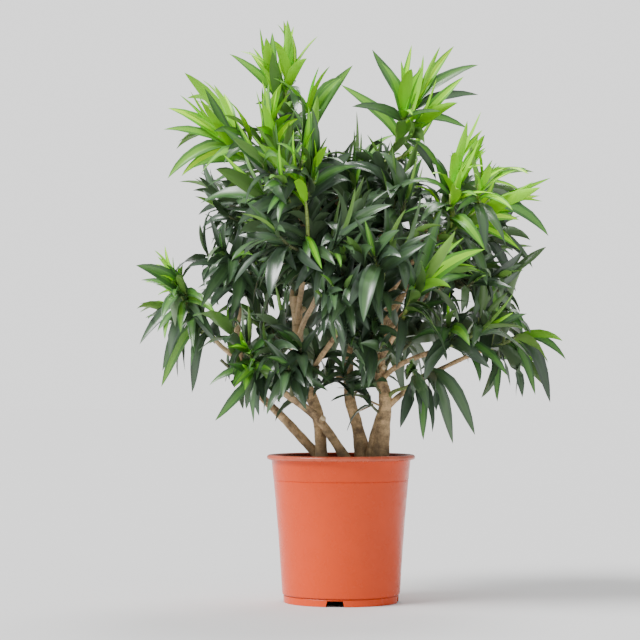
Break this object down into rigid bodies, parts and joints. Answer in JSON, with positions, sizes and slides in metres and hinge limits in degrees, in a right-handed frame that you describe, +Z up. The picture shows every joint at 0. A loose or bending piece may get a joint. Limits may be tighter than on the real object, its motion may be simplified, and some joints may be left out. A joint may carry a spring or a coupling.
{
  "type": "potted shrub",
  "caption": "Bushy leafy shrub on bare stems, standing in a round tapered plastic nursery pot.",
  "frame": {"origin": "centre of the pot's flat underside", "axes": "+Z up along the pot's axis, -Y towards the viewer of the picture, +X to the viewer's right"},
  "size_m": [0.7679, 0.7127, 1.0464],
  "materials": {
    "pot": "terracotta-coloured injection-moulded plastic",
    "soil": "moist dark potting mix",
    "bark": "ringed pale brown stems",
    "young": "young leaves, lime with green edges",
    "fresh": "grown leaves, mid green with a paler centre",
    "deep": "old leaves, dark glossy green"
  },
  "bodies": {
    "root": {"pot": "pot", "soil": "soil", "stem_west": "bark", "stem_left": "bark", "stem_front": "bark", "stem_middle": "bark", "stem_right": "bark", "bough_west_far": "bark", "bough_west_upper": "bark", "bough_north_west": "bark", "bough_north_west_front": "bark", "bough_front_left": "bark", "bough_back_left": "bark", "bough_front_middle": "bark", "bough_back_left_low": "bark", "bough_top_left": "bark", "bough_top_right": "bark", "bough_back_top": "bark", "bough_back_middle": "bark", "bough_front": "bark", "bough_east_upper": "bark", "bough_east_bright": "bark", "bough_east": "bark", "bough_east_low": "bark", "bough_south_east": "bark", "bough_south_east_near": "bark", "bough_front_bright": "bark", "bough_back_right": "bark", "west_low": "deep", "west_far": "fresh", "west_middle": "deep", "west_upper": "deep", "south_west": "fresh", "low_left": "deep", "heart": "deep", "north_west": "young", "north_west_front": "fresh", "front_left": "deep", "back_left": "deep", "front_middle": "deep", "back_left_low": "deep", "top_left": "fresh", "top_back": "deep", "top_right": "young", "top_middle": "deep", "back_top": "deep", "back_middle": "deep", "front": "fresh", "east_upper": "young", "right_heart": "deep", "east_bright": "young", "east": "deep", "east_low": "deep", "south_east": "fresh", "low_right": "fresh", "south_east_near": "fresh", "front_bright": "young", "front_low": "deep", "back_right": "deep", "back_right_low": "deep"}
  },
  "joints": []
}
